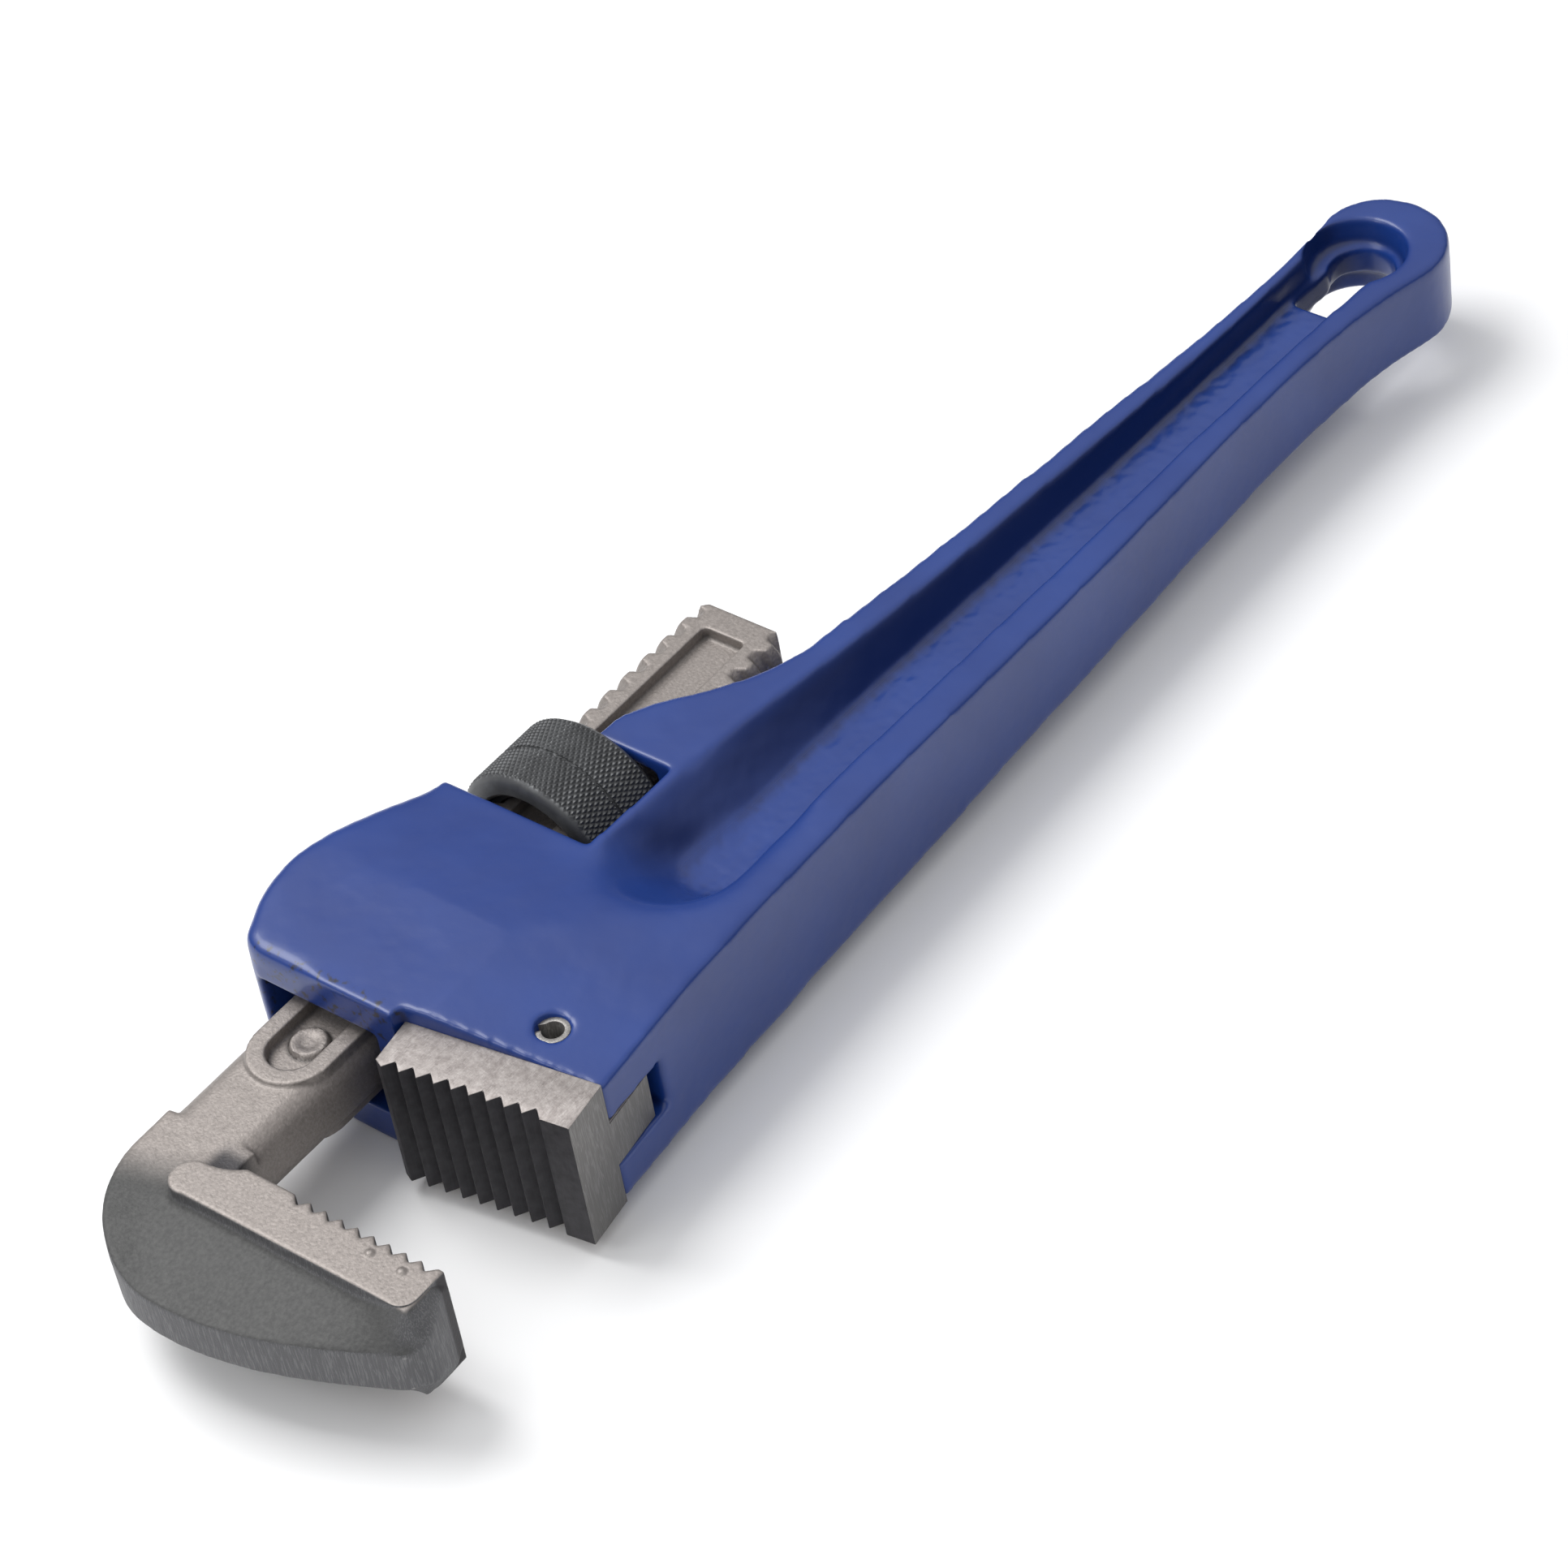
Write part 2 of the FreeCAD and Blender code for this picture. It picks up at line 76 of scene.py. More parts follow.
# %% [markdown]
# ## Where things are
# A node's box tells where the CAD put it. The wrench lies on its side, so its middle plane is
# halfway up the handle's box, and the shank's axis runs along X at y = 0. Places below are
# counted from these boxes, in millimetres, because hand tools are drawn that way.

# %% Boxes of the nodes, in millimetres


def box_mm(node):
    low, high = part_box(node)
    return np.array(low) * 1000, np.array(high) * 1000


handle_low, handle_high = box_mm("handle")
hook_low = box_mm("hook_jaw")[0]
heel_low, heel_high = box_mm("heel_jaw")
pin_low, pin_high = box_mm("heel_jaw_pin")
nut_low, nut_high = box_mm("adjusting_nut")
middle = (handle_low[2] + handle_high[2]) / 2
nut_centre = (nut_low + nut_high) / 2
print("middle plane at z =", round(middle, 2), "mm, nut at x =", round(nut_centre[0], 2), "mm")

# %% [markdown]
# ## Taking a blank from the CAD
# CAD nodes are never edited. A piece that needs a softer or richer shape starts as a copy of
# the node's mesh, in an object of its own. The imported mesh is split along its sharp edges
# for shading, so the copy is welded first: voxel remeshing and booleans need a closed skin.
# Applying the modifiers at once keeps every piece a plain mesh.

# %% Copying, welding and applying


def blank_from(node, name):
    """A new object with the node's mesh, welded into one closed skin."""
    piece = bpy.data.objects.new(name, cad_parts[node].data.copy())
    bpy.context.scene.collection.objects.link(piece)
    piece.data.materials.clear()
    weld = piece.modifiers.new("weld", "WELD")
    weld.merge_threshold = 0.002 * MM
    return apply_modifiers(piece)


def apply_modifiers(piece):
    """Bake the modifiers into the mesh and drop the old mesh."""
    shown = piece.evaluated_get(bpy.context.evaluated_depsgraph_get())
    made = bpy.data.meshes.new_from_object(shown)
    rough = piece.data
    piece.modifiers.clear()
    piece.data = made
    bpy.data.meshes.remove(rough)
    return piece


def remesh(piece, voxel):
    """Rebuild the skin from voxels of this size in mm, so that it can be worked like clay."""
    grid = piece.modifiers.new("remesh", "REMESH")
    grid.mode = "VOXEL"
    grid.voxel_size = voxel * MM
    apply_modifiers(piece)
    print(piece.name, "has", len(piece.data.vertices), "points at", voxel, "mm")
    return piece


# %% [markdown]
# ## Masks
# Most work on a casting is "more here, less there". A mask is one number from 0 to 1 for each
# point of the skin. Masks are worked out with numpy from the points' places, which is quick,
# and `ramp` gives them soft borders.

# %% Points, normals and ramps


def points_mm(piece):
    flat = np.empty(len(piece.data.vertices) * 3, dtype=np.float32)
    piece.data.vertices.foreach_get("co", flat)
    return flat.reshape(-1, 3).astype(float) * 1000


def set_points_mm(piece, points):
    piece.data.vertices.foreach_set("co", (points / 1000).astype(np.float32).ravel())
    piece.data.update()


def normals_of(piece):
    flat = np.empty(len(piece.data.vertices) * 3, dtype=np.float32)
    piece.data.vertex_normals.foreach_get("vector", flat)
    return flat.reshape(-1, 3).astype(float)


def ramp(value, start, end):
    """0 at start and 1 at end, with a soft step between. It may run downward."""
    t = np.clip((value - start) / (end - start), 0.0, 1.0)
    return t * t * (3 - 2 * t)


def inside(points, low, high, fade):
    """1 inside the box, falling to 0 over the fade around it."""
    gap = np.maximum(np.maximum(np.array(low) - points, points - np.array(high)), 0)
    return ramp(np.linalg.norm(gap, axis=1), fade, 0.0)


def store(piece, name, values):
    """Keep a mask on the mesh, where a material can read it."""
    layer = piece.data.attributes.new(name, "FLOAT", "POINT")
    layer.data.foreach_set("value", values.astype(np.float32))


print("masks ready")

# %% [markdown]
# ## Softening
# A casting has no sharp outer edges, because sand and thick paint round them. A bevel modifier
# can't follow edges that meet at machined faces, so the remeshed skin is relaxed instead. The
# Smooth modifier moves each point toward its neighbours, and a vertex group says how strongly.
# A hundred passes on half-millimetre voxels round an edge to about 7 mm; a weight of a quarter
# gives half that radius.

# %% Relaxing a skin by a mask


def weigh(piece, name, mask):
    """A vertex group whose weights are the mask in twentieths."""
    group = piece.vertex_groups.new(name=name)
    steps = np.round(mask * 20).astype(int)
    for step in range(1, 21):
        chosen = np.flatnonzero(steps == step).tolist()
        if chosen:
            group.add(chosen, step / 20, "REPLACE")
    return name


def soften(piece, mask, passes, factor=0.9):
    smooth = piece.modifiers.new("soften", "SMOOTH")
    smooth.factor = factor
    smooth.iterations = passes
    smooth.vertex_group = weigh(piece, "soft", mask)
    apply_modifiers(piece)
    piece.vertex_groups.clear()


def roughen(piece, mask, grain, height):
    """Push the skin in and out along its normals by a cloud pattern of this grain, in mm."""
    pattern = bpy.data.textures.new(f"{piece.name}_grain", "CLOUDS")
    pattern.noise_scale = grain * MM
    pattern.noise_depth = 2
    push = piece.modifiers.new("roughen", "DISPLACE")
    push.texture = pattern
    push.texture_coords = "LOCAL"
    push.strength = height * MM
    push.mid_level = 0.5
    push.vertex_group = weigh(piece, "rough", mask)
    apply_modifiers(piece)
    piece.vertex_groups.clear()


def hollows(piece, passes):
    """How far each point would sink outward if the skin were relaxed: above 0 in a hollow."""
    before, outward = points_mm(piece), normals_of(piece)
    trial = bpy.data.objects.new("trial", piece.data.copy())
    bpy.context.scene.collection.objects.link(trial)
    soften(trial, np.ones(len(before)), passes)
    moved = points_mm(trial) - before
    bpy.data.meshes.remove(trial.data)
    return (moved * outward).sum(axis=1)


print("softening ready")

# %% [markdown]
# ## The handle casting
# The handle is one casting: a thick head around the shank, two cheeks behind the nut, and a
# grip like an I-beam with a channel on each side. Its back edge is rounded most, the rims of
# the channels less, and the edges that were milled for the nut, the shank and the heel jaw
# stay nearly crisp. The channel starts at the head in a smooth scoop.

# %% Remesh the handle
HANDLE_VOXEL, ROUNDING_PASSES = 0.5, 90
casting = remesh(blank_from("handle", "handle_casting"), HANDLE_VOXEL)
skin = points_mm(casting)
along, across = skin[:, 0], skin[:, 1]
height = np.abs(skin[:, 2] - middle)

# %% Which edges stay crisp
window_mask = inside(skin, nut_low - [3.2, 2.5, 0], nut_high + [0.6, 40, 0], 4.0)
mouth_mask = inside(skin, (-30, -13.5, middle - 11), (15.0, 15.5, middle + 11), 3.0)
seat_mask = inside(skin, heel_low - [5, 5, 2], heel_high + [0.5, 0.5, 2], 3.0)
guard_mask = inside(skin, (62, -14.5, middle - 11), (112, 8, middle + 11), 1.5)
pin_mask = inside(skin, pin_low - [0, 0, 3], pin_high + [0, 0, 3], 2.5)
machined = np.max([window_mask, mouth_mask, seat_mask, guard_mask, pin_mask], axis=0)
print("machined share of the skin:", round(float((machined > 0.5).mean()), 3))

# %% Round the casting
back_edge = ramp(across, -4.0, 6.0) * ramp(along, 46.0, 34.0)
scoop = inside(skin, (26, -46, 0), (66, -22, 35), 8.0) * ramp(height, 2.5, 4.5)
grip = 0.14 + 0.06 * ramp(along, 120.0, 240.0)
roundness = np.maximum(np.maximum(grip, 0.85 * back_edge), 0.7 * scoop)
roundness = roundness * (1 - machined) + 0.05 * machined
soften(casting, roundness, ROUNDING_PASSES)
scoop = inside(points_mm(casting), (28, -46, 0), (62, -24, 35), 8.0) * (1 - machined)
soften(casting, scoop, ROUNDING_PASSES)

# %% Foundry waviness and rough channel floors
skin, outward = points_mm(casting), normals_of(casting)
free = 1 - 0.8 * machined
in_channel = inside(skin, (46, -45, middle - 5), (236, -24, middle + 5), 2.0)
floor_mask = in_channel * ramp(np.abs(outward[:, 2]), 0.7, 0.95)
roughen(casting, free, 9.0, 0.22)
roughen(casting, np.clip(floor_mask, 0, 1), 1.8, 0.26)
soften(casting, np.full(len(skin), 0.5), 2)
set_points_mm(casting, np.clip(points_mm(casting), handle_low, handle_high))
print("channel floor share:", round(float((floor_mask > 0.5).mean()), 3))

# %% Masks that the paint reads
skin, outward = points_mm(casting), normals_of(casting)
height = np.abs(skin[:, 2] - middle)
# Painted shade: the 'hollow' mask darkens the enamel in concave spots and on the channel walls that face
# sideways.
channel_wall = inside(skin, (44, -46, middle - 14), (250, -20, middle + 14), 4.0)
channel_wall = channel_wall * ramp(np.abs(outward[:, 2]), 0.85, 0.5) * ramp(height, 14.0, 9.0)
store(casting, "hollow", np.maximum(ramp(hollows(casting, 30), 0.03, 0.30), channel_wall))
store(casting, "rough_floor", floor_mask)
store(casting, "nicks", inside(skin, (-14, -24, middle), (-10, 16, middle + 20), 1.5))
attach(casting, "handle_body")
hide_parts("handle")

# %% [markdown]
# ## The hook jaw
# The hook is forged. Its web is thickest along the jaw pad and thins toward the outer rim,
# where the flash was trimmed off, and at the nose it runs up to the pad's full width. The pad,
# the raised land and the thread were finished later, so they keep their edges. The CAD web is
# flat, so the skin is stretched across the thickness: that can't fold it over, and the pad's
# own faces stay where they are.

# %% Remesh the hook
HOOK_VOXEL = 0.3
hook = remesh(blank_from("hook_jaw", "hook_forging"), HOOK_VOXEL)
skin = points_mm(hook)
PAD_BACK, PAD_END, PAD_HALF, WEB_HALF = -55.7, -57.3, 10.65, 6.7
RIM_HALF, WEB_AT_PAD = 4.4, 7.8
RIM_Y = [-59.9, -56.5, -41.6, -19.0, -8.8, 1.2, 7.8]
RIM_X = [-56.5, -60.6, -67.2, -72.4, -71.6, -66.0, -57.4]

# %% Give the web its forged section


def web_half_at(x, y):
    """Half thickness of the forged web at a place of the hook."""
    rim_x = np.interp(y, RIM_Y, RIM_X)
    toward_rim = np.clip((PAD_BACK - x) / np.maximum(PAD_BACK - rim_x, 1.0), 0, 1)
    at_pad = WEB_AT_PAD + (PAD_HALF - 0.4 - WEB_AT_PAD) * ramp(y, -45.0, -57.0)
    at_pad = at_pad - (at_pad - 5.4) * ramp(y, PAD_END, hook_low[1])
    forged_half = RIM_HALF + (at_pad - RIM_HALF) * (1 - toward_rim) ** 1.2
    return WEB_HALF + (forged_half - WEB_HALF) * ramp(y, 2.0, -13.0) * ramp(x, -45.0, -50.0)


def forge_web(points):
    """Stretch the skin across the thickness, from the flat web to the forged one."""
    half = np.abs(points[:, 2] - middle)
    full = web_half_at(points[:, 0], points[:, 1])
    inner = half * full / WEB_HALF
    wall = full + (half - WEB_HALF) * (PAD_HALF - full) / (PAD_HALF - WEB_HALF)
    half = np.where(half <= WEB_HALF, inner, wall)
    made = points.copy()
    made[:, 2] = middle + np.sign(points[:, 2] - middle) * half
    return np.where((points[:, 0] < -44)[:, None], made, points)


skin = forge_web(skin)
set_points_mm(hook, skin)
print("web half thickness at the rim:", RIM_HALF, "mm, at the pad:", WEB_AT_PAD, "mm")

# %% Round the forging
along, across = skin[:, 0], skin[:, 1]
height = np.abs(skin[:, 2] - middle)
hook_part = ramp(along, -38.0, -46.0)
toothed = ramp(along, -50.4, -48.6) * ramp(across, -5.0, -8.0)
pad_top = ramp(height, 9.7, 10.3) * hook_part
web_mask = hook_part * (1 - pad_top) * (1 - toothed)
fillet = web_mask * ramp(height, 6.2, 7.0) * ramp(along, -62.0, -58.5)
neck_mask = ramp(along, -27.0, -31.0) * (1 - hook_part)
thread_mask = ramp(along, 12.0, 17.0)
soft = 0.05 + 0.20 * web_mask + 0.55 * fillet + 0.15 * neck_mask
soften(hook, np.clip(soft * (1 - thread_mask) + 0.03 * thread_mask, 0, 1), ROUNDING_PASSES)

# %% Coin boss in the pocket's end and proof dots on the pad
BOSS_PLACE, BOSS_RISE, DISH_DEPTH = (-15.9, -0.2), 1.0, 0.35
DOT_PLACES, DOT_RISE = ((-49.3, -44.3), (-49.6, -51.4)), 0.4
skin = points_mm(hook)
from_boss = np.linalg.norm(skin[:, :2] - np.array(BOSS_PLACE), axis=1)
height, side = np.abs(skin[:, 2] - middle), np.sign(skin[:, 2] - middle)
pocket_floor = ramp(height, 6.6, 6.0) * (height > 4.2)
dish = BOSS_RISE * ramp(from_boss, 3.7, 3.2) - DISH_DEPTH * ramp(from_boss, 2.6, 1.0)
skin[:, 2] += side * dish * pocket_floor
for place in DOT_PLACES:
    from_dot = np.linalg.norm(skin[:, :2] - np.array(place), axis=1)
    on_pad = ramp(height, 10.0, 10.4)
    skin[:, 2] += DOT_RISE * np.sign(skin[:, 2] - middle) * ramp(from_dot, 0.9, 0.5) * on_pad
set_points_mm(hook, skin)
roughen(hook, np.clip(web_mask + 0.4 * neck_mask, 0, 1), 5.0, 0.22)

# %% Masks that the steel reads
skin, outward = points_mm(hook), normals_of(hook)
height = np.abs(skin[:, 2] - middle)
forge_scale = ramp(skin[:, 0] + 0.25 * skin[:, 1], -45.0, -56.0) * (1 - ramp(height, 9.9, 10.4))
rim = ramp(np.abs(outward[:, 2]), 0.75, 0.45) * ramp(skin[:, 0] + 0.2 * skin[:, 1], -52.0, -60.0)
store(hook, "forge_scale", forge_scale)
store(hook, "trimmed_rim", rim)
# Painted shade: the 'hollow' mask marks the concave spots, which the steel darkens.
store(hook, "hollow", ramp(hollows(hook, 14), 0.02, 0.20))
store(hook, "tooth_row", ramp(skin[:, 0], -48.8, -47.8) * ramp(skin[:, 1], -3.0, -6.0)
      * (1 - ramp(height, 10.2, 10.5)) * ramp(skin[:, 0], -40.0, -44.0))
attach(hook, "sliding_jaw")
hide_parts("hook_jaw")

# %% [markdown]
# ## The adjusting nut
# A diamond knurl is rolled into the nut: two sets of fine grooves cross and leave pyramids.
# A bump map would look flat at the outline, so the pyramids are real. A drum is built whose
# radius follows the two sets of grooves, and the CAD nut, with its bore, thread and chamfers,
# is intersected with it. The narrow groove around the middle comes from the CAD nut.

# %% Knurled drum
KNURL_PITCH, KNURL_DEPTH = 1.15, 0.34
RING_STEP, POINTS_PER_TOOTH = 0.16, 8
NUT_RADIUS = (nut_high[1] - nut_low[1]) / 2
teeth_round = round(2 * math.pi * NUT_RADIUS / KNURL_PITCH)


def groove(turns):
    """Height of a row of V grooves, from 0 at a groove's bottom to 1 on the ridge."""
    return 1 - np.abs(2 * (turns - np.floor(turns)) - 1)


def knurled_drum(name, length):
    """A closed drum along X with a diamond knurl, centred on the nut."""
    rings, steps = int(length / RING_STEP), teeth_round * POINTS_PER_TOOTH
    place = np.linspace(-length / 2, length / 2, rings)
    turn = np.arange(steps) / steps
    place, turn = np.meshgrid(place, turn, indexing="ij")
    slant = place / (KNURL_PITCH * 1.6)
    ridge = np.minimum(groove(turn * teeth_round + slant), groove(turn * teeth_round - slant))
    radius = NUT_RADIUS - KNURL_DEPTH * (1 - np.clip(ridge * 1.25, 0, 1))
    angle = 2 * math.pi * turn
    points = np.stack([nut_centre[0] + place, radius * np.cos(angle) + nut_centre[1],
                       radius * np.sin(angle) + middle], axis=-1).reshape(-1, 3)
    faces = []
    for i in range(rings - 1):
        here, there = i * steps, (i + 1) * steps
        for j in range(steps):
            k = (j + 1) % steps
            faces.append((here + j, here + k, there + k, there + j))
    faces.append(tuple(range(steps))[::-1])
    faces.append(tuple(range((rings - 1) * steps, rings * steps)))
    mesh = bpy.data.meshes.new(name)
    mesh.from_pydata((points * MM).tolist(), [], faces)
    drum = bpy.data.objects.new(name, mesh)
    bpy.context.scene.collection.objects.link(drum)
    return drum


drum = knurled_drum("drum", nut_high[0] - nut_low[0] + 2.0)
print("knurl teeth around the nut:", teeth_round, "points:", len(drum.data.vertices))

# %% Cut the nut from the drum
nut = blank_from("adjusting_nut", "knurled_nut")
cut = nut.modifiers.new("knurl", "BOOLEAN")
cut.operation = "INTERSECT"
cut.solver = "MANIFOLD"
cut.object = drum
apply_modifiers(nut)
bpy.data.objects.remove(drum)
nut.data.materials.clear()
nut.data.polygons.foreach_set("material_index", np.zeros(len(nut.data.polygons), dtype=np.int32))
print("nut faces:", len(nut.data.polygons))
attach(nut, "nut")
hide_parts("adjusting_nut")

# %% [markdown]
# ## The heel jaw and its pin
# The heel jaw is milled from bar and its teeth are cut in one pass, so it keeps its CAD shape.
# It only needs the small broken edges that catch the light, which a bevel of a quarter of a
# millimetre gives. The same goes for the rolled pin that holds it.

# %% Broken edges


def broken_edges(node, name, width):
    piece = blank_from(node, name)
    bevel = piece.modifiers.new("bevel", "BEVEL")
    bevel.width = width * MM
    bevel.segments = 2
    bevel.limit_method = "ANGLE"
    bevel.angle_limit = math.radians(35)
    bevel.use_clamp_overlap = True
    apply_modifiers(piece)
    print(name, "faces:", len(piece.data.polygons))
    return piece


heel = broken_edges("heel_jaw", "heel_jaw_block", 0.22)
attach(heel, "handle_body")
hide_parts("heel_jaw")
pin = broken_edges("heel_jaw_pin", "roll_pin", 0.15)
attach(pin, "handle_body")
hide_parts("heel_jaw_pin")

# %% [markdown]
# ## Smooth shading
# Faces that meet at a shallow angle are shaded as one surface. Dense skins are smooth all
# over; cut pieces keep their edges by marking the sharp ones.

# %% Shade by angle


def shade(piece, degrees):
    piece.data.shade_smooth()
    piece.data.set_sharp_from_angle(angle=math.radians(degrees))


for piece, degrees in ((casting, 60), (hook, 50), (nut, 25), (heel, 30), (pin, 35)):
    shade(piece, degrees)
print("pieces shaded")

# %% [markdown]
# ## Effects that several finishes share
# Grain, worn edges, scratches and two-tone mottling turn up in nearly every material here, so
# each is a node group with named inputs. A group gives colours, masks and heights only, and
# the shader stays in the material. All of them read the object's own coordinates, so the
# pattern travels with a moving jaw.

# %% A small helper for node groups


def new_group(name, inputs, outputs):
    """A shader node group with its sockets. Returns the group and its two end nodes."""
    group = bpy.data.node_groups.new(name, "ShaderNodeTree")
    for label, kind, value in inputs:
        socket = group.interface.new_socket(name=label, in_out="INPUT", socket_type=kind)
        socket.default_value = value
    for label, kind in outputs:
        group.interface.new_socket(name=label, in_out="OUTPUT", socket_type=kind)
    return group, group.nodes.new("NodeGroupInput"), group.nodes.new("NodeGroupOutput")


def add(tree, kind, links=(), **settings):
    """A node with its settings, fed by (input, source socket or value) pairs."""
    node = tree.nodes.new(f"ShaderNode{kind}")
    for name, value in settings.items():
        setattr(node, name, value)
    for key, source in links:
        if isinstance(source, bpy.types.NodeSocket):
            tree.links.new(source, node.inputs[key])
        else:
            node.inputs[key].default_value = source
    return node


FLOAT, COLOR = "NodeSocketFloat", "NodeSocketColor"

# %% Group: surface grain
grain_group, g_in, g_out = new_group(
    "surface_grain",
    [("Grain per m", FLOAT, 2500.0), ("Lumps per m", FLOAT, 160.0), ("Lump Share", FLOAT, 0.5)],
    [("Height", FLOAT), ("Speckle", FLOAT)],
)
here = add(grain_group, "TexCoord").outputs["Object"]
fine = add(grain_group, "TexNoise", [("Vector", here), ("Scale", g_in.outputs[0]), ("Detail", 3.0)])
lump = add(grain_group, "TexNoise", [("Vector", here), ("Scale", g_in.outputs[1]), ("Detail", 2.0)])
both = add(grain_group, "Mix", [(0, g_in.outputs[2]), (2, fine.outputs[0]), (3, lump.outputs[0])])
speck = add(grain_group, "MapRange", [(0, fine.outputs[0]), (1, 0.56), (2, 0.68)])
grain_group.links.new(both.outputs[0], g_out.inputs[0])
grain_group.links.new(speck.outputs[0], g_out.inputs[1])

# %% Group: worn edges
wear_group, g_in, g_out = new_group(
    "edge_wear",
    [("Start", FLOAT, 0.52), ("Full", FLOAT, 0.6), ("Patches per m", FLOAT, 500.0),
     ("Patchiness", FLOAT, 0.6)],
    [("Mask", FLOAT)],
)
point = add(wear_group, "NewGeometry").outputs["Pointiness"]
edge = add(wear_group, "MapRange", [(0, point), (1, g_in.outputs[0]), (2, g_in.outputs[1])])
here = add(wear_group, "TexCoord").outputs["Object"]
patch = add(wear_group, "TexNoise", [("Vector", here), ("Scale", g_in.outputs[2]), ("Detail", 2.0)])
broken = add(wear_group, "MapRange", [(0, patch.outputs[0]), (1, 0.42), (2, 0.58)])
kept = add(wear_group, "Math", [(0, broken.outputs[0]), (1, g_in.outputs[3])], operation="MULTIPLY")
kept = add(wear_group, "Math", [(0, 1.0), (1, kept.outputs[0])], operation="SUBTRACT")
mask = add(wear_group, "Math", [(0, edge.outputs[0]), (1, kept.outputs[0])], operation="MULTIPLY")
wear_group.links.new(mask.outputs[0], g_out.inputs[0])

# %% Group: fine scratches
scratch_group, g_in, g_out = new_group(
    "fine_scratches",
    [("Stretch", "NodeSocketVector", (300.0, 3000.0, 3000.0)), ("Width", FLOAT, 0.02)],
    [("Mask", FLOAT)],
)
here = add(scratch_group, "TexCoord").outputs["Object"]
pulled = add(scratch_group, "VectorMath", [(0, here), (1, g_in.outputs[0])], operation="MULTIPLY")
lines = add(scratch_group, "TexNoise", [("Vector", pulled.outputs[0]), ("Scale", 1.0), ("Detail", 2.0)])
away = add(scratch_group, "Math", [(0, lines.outputs[0]), (1, 0.5)], operation="SUBTRACT")
away = add(scratch_group, "Math", [(0, away.outputs[0])], operation="ABSOLUTE")
mask = add(scratch_group, "MapRange", [(0, away.outputs[0]), (1, g_in.outputs[1]), (2, 0.0)])
scratch_group.links.new(mask.outputs[0], g_out.inputs[0])

# %% Group: two-tone mottling
mottle_group, g_in, g_out = new_group(
    "mottle",
    [("Color A", COLOR, (0.2, 0.2, 0.2, 1)), ("Color B", COLOR, (0.4, 0.4, 0.4, 1)),
     ("Patches per m", FLOAT, 120.0), ("Contrast", FLOAT, 0.15)],
    [("Color", COLOR)],
)
here = add(mottle_group, "TexCoord").outputs["Object"]
cloud = add(mottle_group, "TexNoise", [("Vector", here), ("Scale", g_in.outputs[2]), ("Detail", 5.0)])
below = add(mottle_group, "Math", [(0, 0.5), (1, g_in.outputs[3])], operation="SUBTRACT")
above = add(mottle_group, "Math", [(0, 0.5), (1, g_in.outputs[3])], operation="ADD")
share = add(mottle_group, "MapRange", [(0, cloud.outputs[0]), (1, below.outputs[0]), (2, above.outputs[0])])
tone = add(mottle_group, "Mix", [(0, share.outputs[0]), (6, g_in.outputs[0]), (7, g_in.outputs[1])],
           data_type="RGBA")
mottle_group.links.new(tone.outputs[2], g_out.inputs[0])
print("groups:", [g.name for g in bpy.data.node_groups])

# %% [markdown]
# ## Building a material
# Each material is a Principled shader whose colour, roughness and bump come from those groups.
# `finish` makes the material and its shader; `use` places a group with its own values; `blend`
# mixes two colours by a mask. Numbers that are the same all over sit on the shader's sockets.

# %% Material helpers


def rgb(*channels):
    return (*channels, 1.0)


def finish(name, **sockets):
    """A node material. Returns its tree and its Principled shader."""
    material = bpy.data.materials.new(name)
    material.use_nodes = True
    shader = material.node_tree.nodes["Principled BSDF"]
    for label, value in sockets.items():
        shader.inputs[label.replace("_", " ")].default_value = value
    return material, material.node_tree, shader


def use(tree, group, **values):
    node = tree.nodes.new("ShaderNodeGroup")
    node.node_tree = group
    for label, value in values.items():
        node.inputs[label.replace("_", " ")].default_value = value
    return node


def mask_of(tree, name):
    return add(tree, "Attribute", attribute_name=name).outputs["Fac"]


def blend(tree, share, first, second):
    return add(tree, "Mix", [(0, share), (6, first), (7, second)], data_type="RGBA").outputs[2]


def times(tree, a, b):
    return add(tree, "Math", [(0, a), (1, b)], operation="MULTIPLY").outputs[0]


def between(tree, share, low, high):
    """A number that runs from low to high as the mask goes from 0 to 1."""
    return add(tree, "MapRange", [(0, share), (3, low), (4, high)]).outputs[0]


def bump(tree, shader, height, distance, strength=1.0):
    node = add(tree, "Bump", [("Height", height), ("Distance", distance * MM), ("Strength", strength)])
    tree.links.new(node.outputs[0], shader.inputs["Normal"])


def plug(tree, source, shader, label):
    tree.links.new(source, shader.inputs[label])


print("material helpers ready")

# %% [markdown]
# ## Blue enamel
# The handle is dipped in thick gloss enamel. Its colour is darkened in hollows and on the channel
# walls as painted shade. It shows fine orange peel, and the rough channel floors make it sparkle
# unevenly. A few flecks are missing along the mouth.

# %% Enamel
enamel, tree, shader = finish("blue_enamel", IOR=1.5, Coat_Weight=0.2, Coat_Roughness=0.12)
tone = use(tree, mottle_group, Color_A=rgb(0.005, 0.029, 0.175), Color_B=rgb(0.008, 0.039, 0.215),
           Patches_per_m=45.0, Contrast=0.2)
# Painted shade: a darker, more saturated blue where the 'hollow' mask is high.
shaded_tone = blend(tree, mask_of(tree, "hollow"), tone.outputs[0], rgb(0.003, 0.016, 0.10))
peel = use(tree, grain_group, Grain_per_m=700.0, Lumps_per_m=220.0, Lump_Share=0.6)
chips = use(tree, grain_group, Grain_per_m=750.0, Lumps_per_m=240.0, Lump_Share=0.5)
chipped = times(tree, chips.outputs[1], mask_of(tree, "nicks"))
plug(tree, blend(tree, chipped, shaded_tone, rgb(0.012, 0.014, 0.03)), shader, "Base Color")
plug(tree, between(tree, mask_of(tree, "rough_floor"), 0.34, 0.26), shader, "Roughness")
bump(tree, shader, peel.outputs[0], 0.12, 0.35)
casting.data.materials.append(enamel)

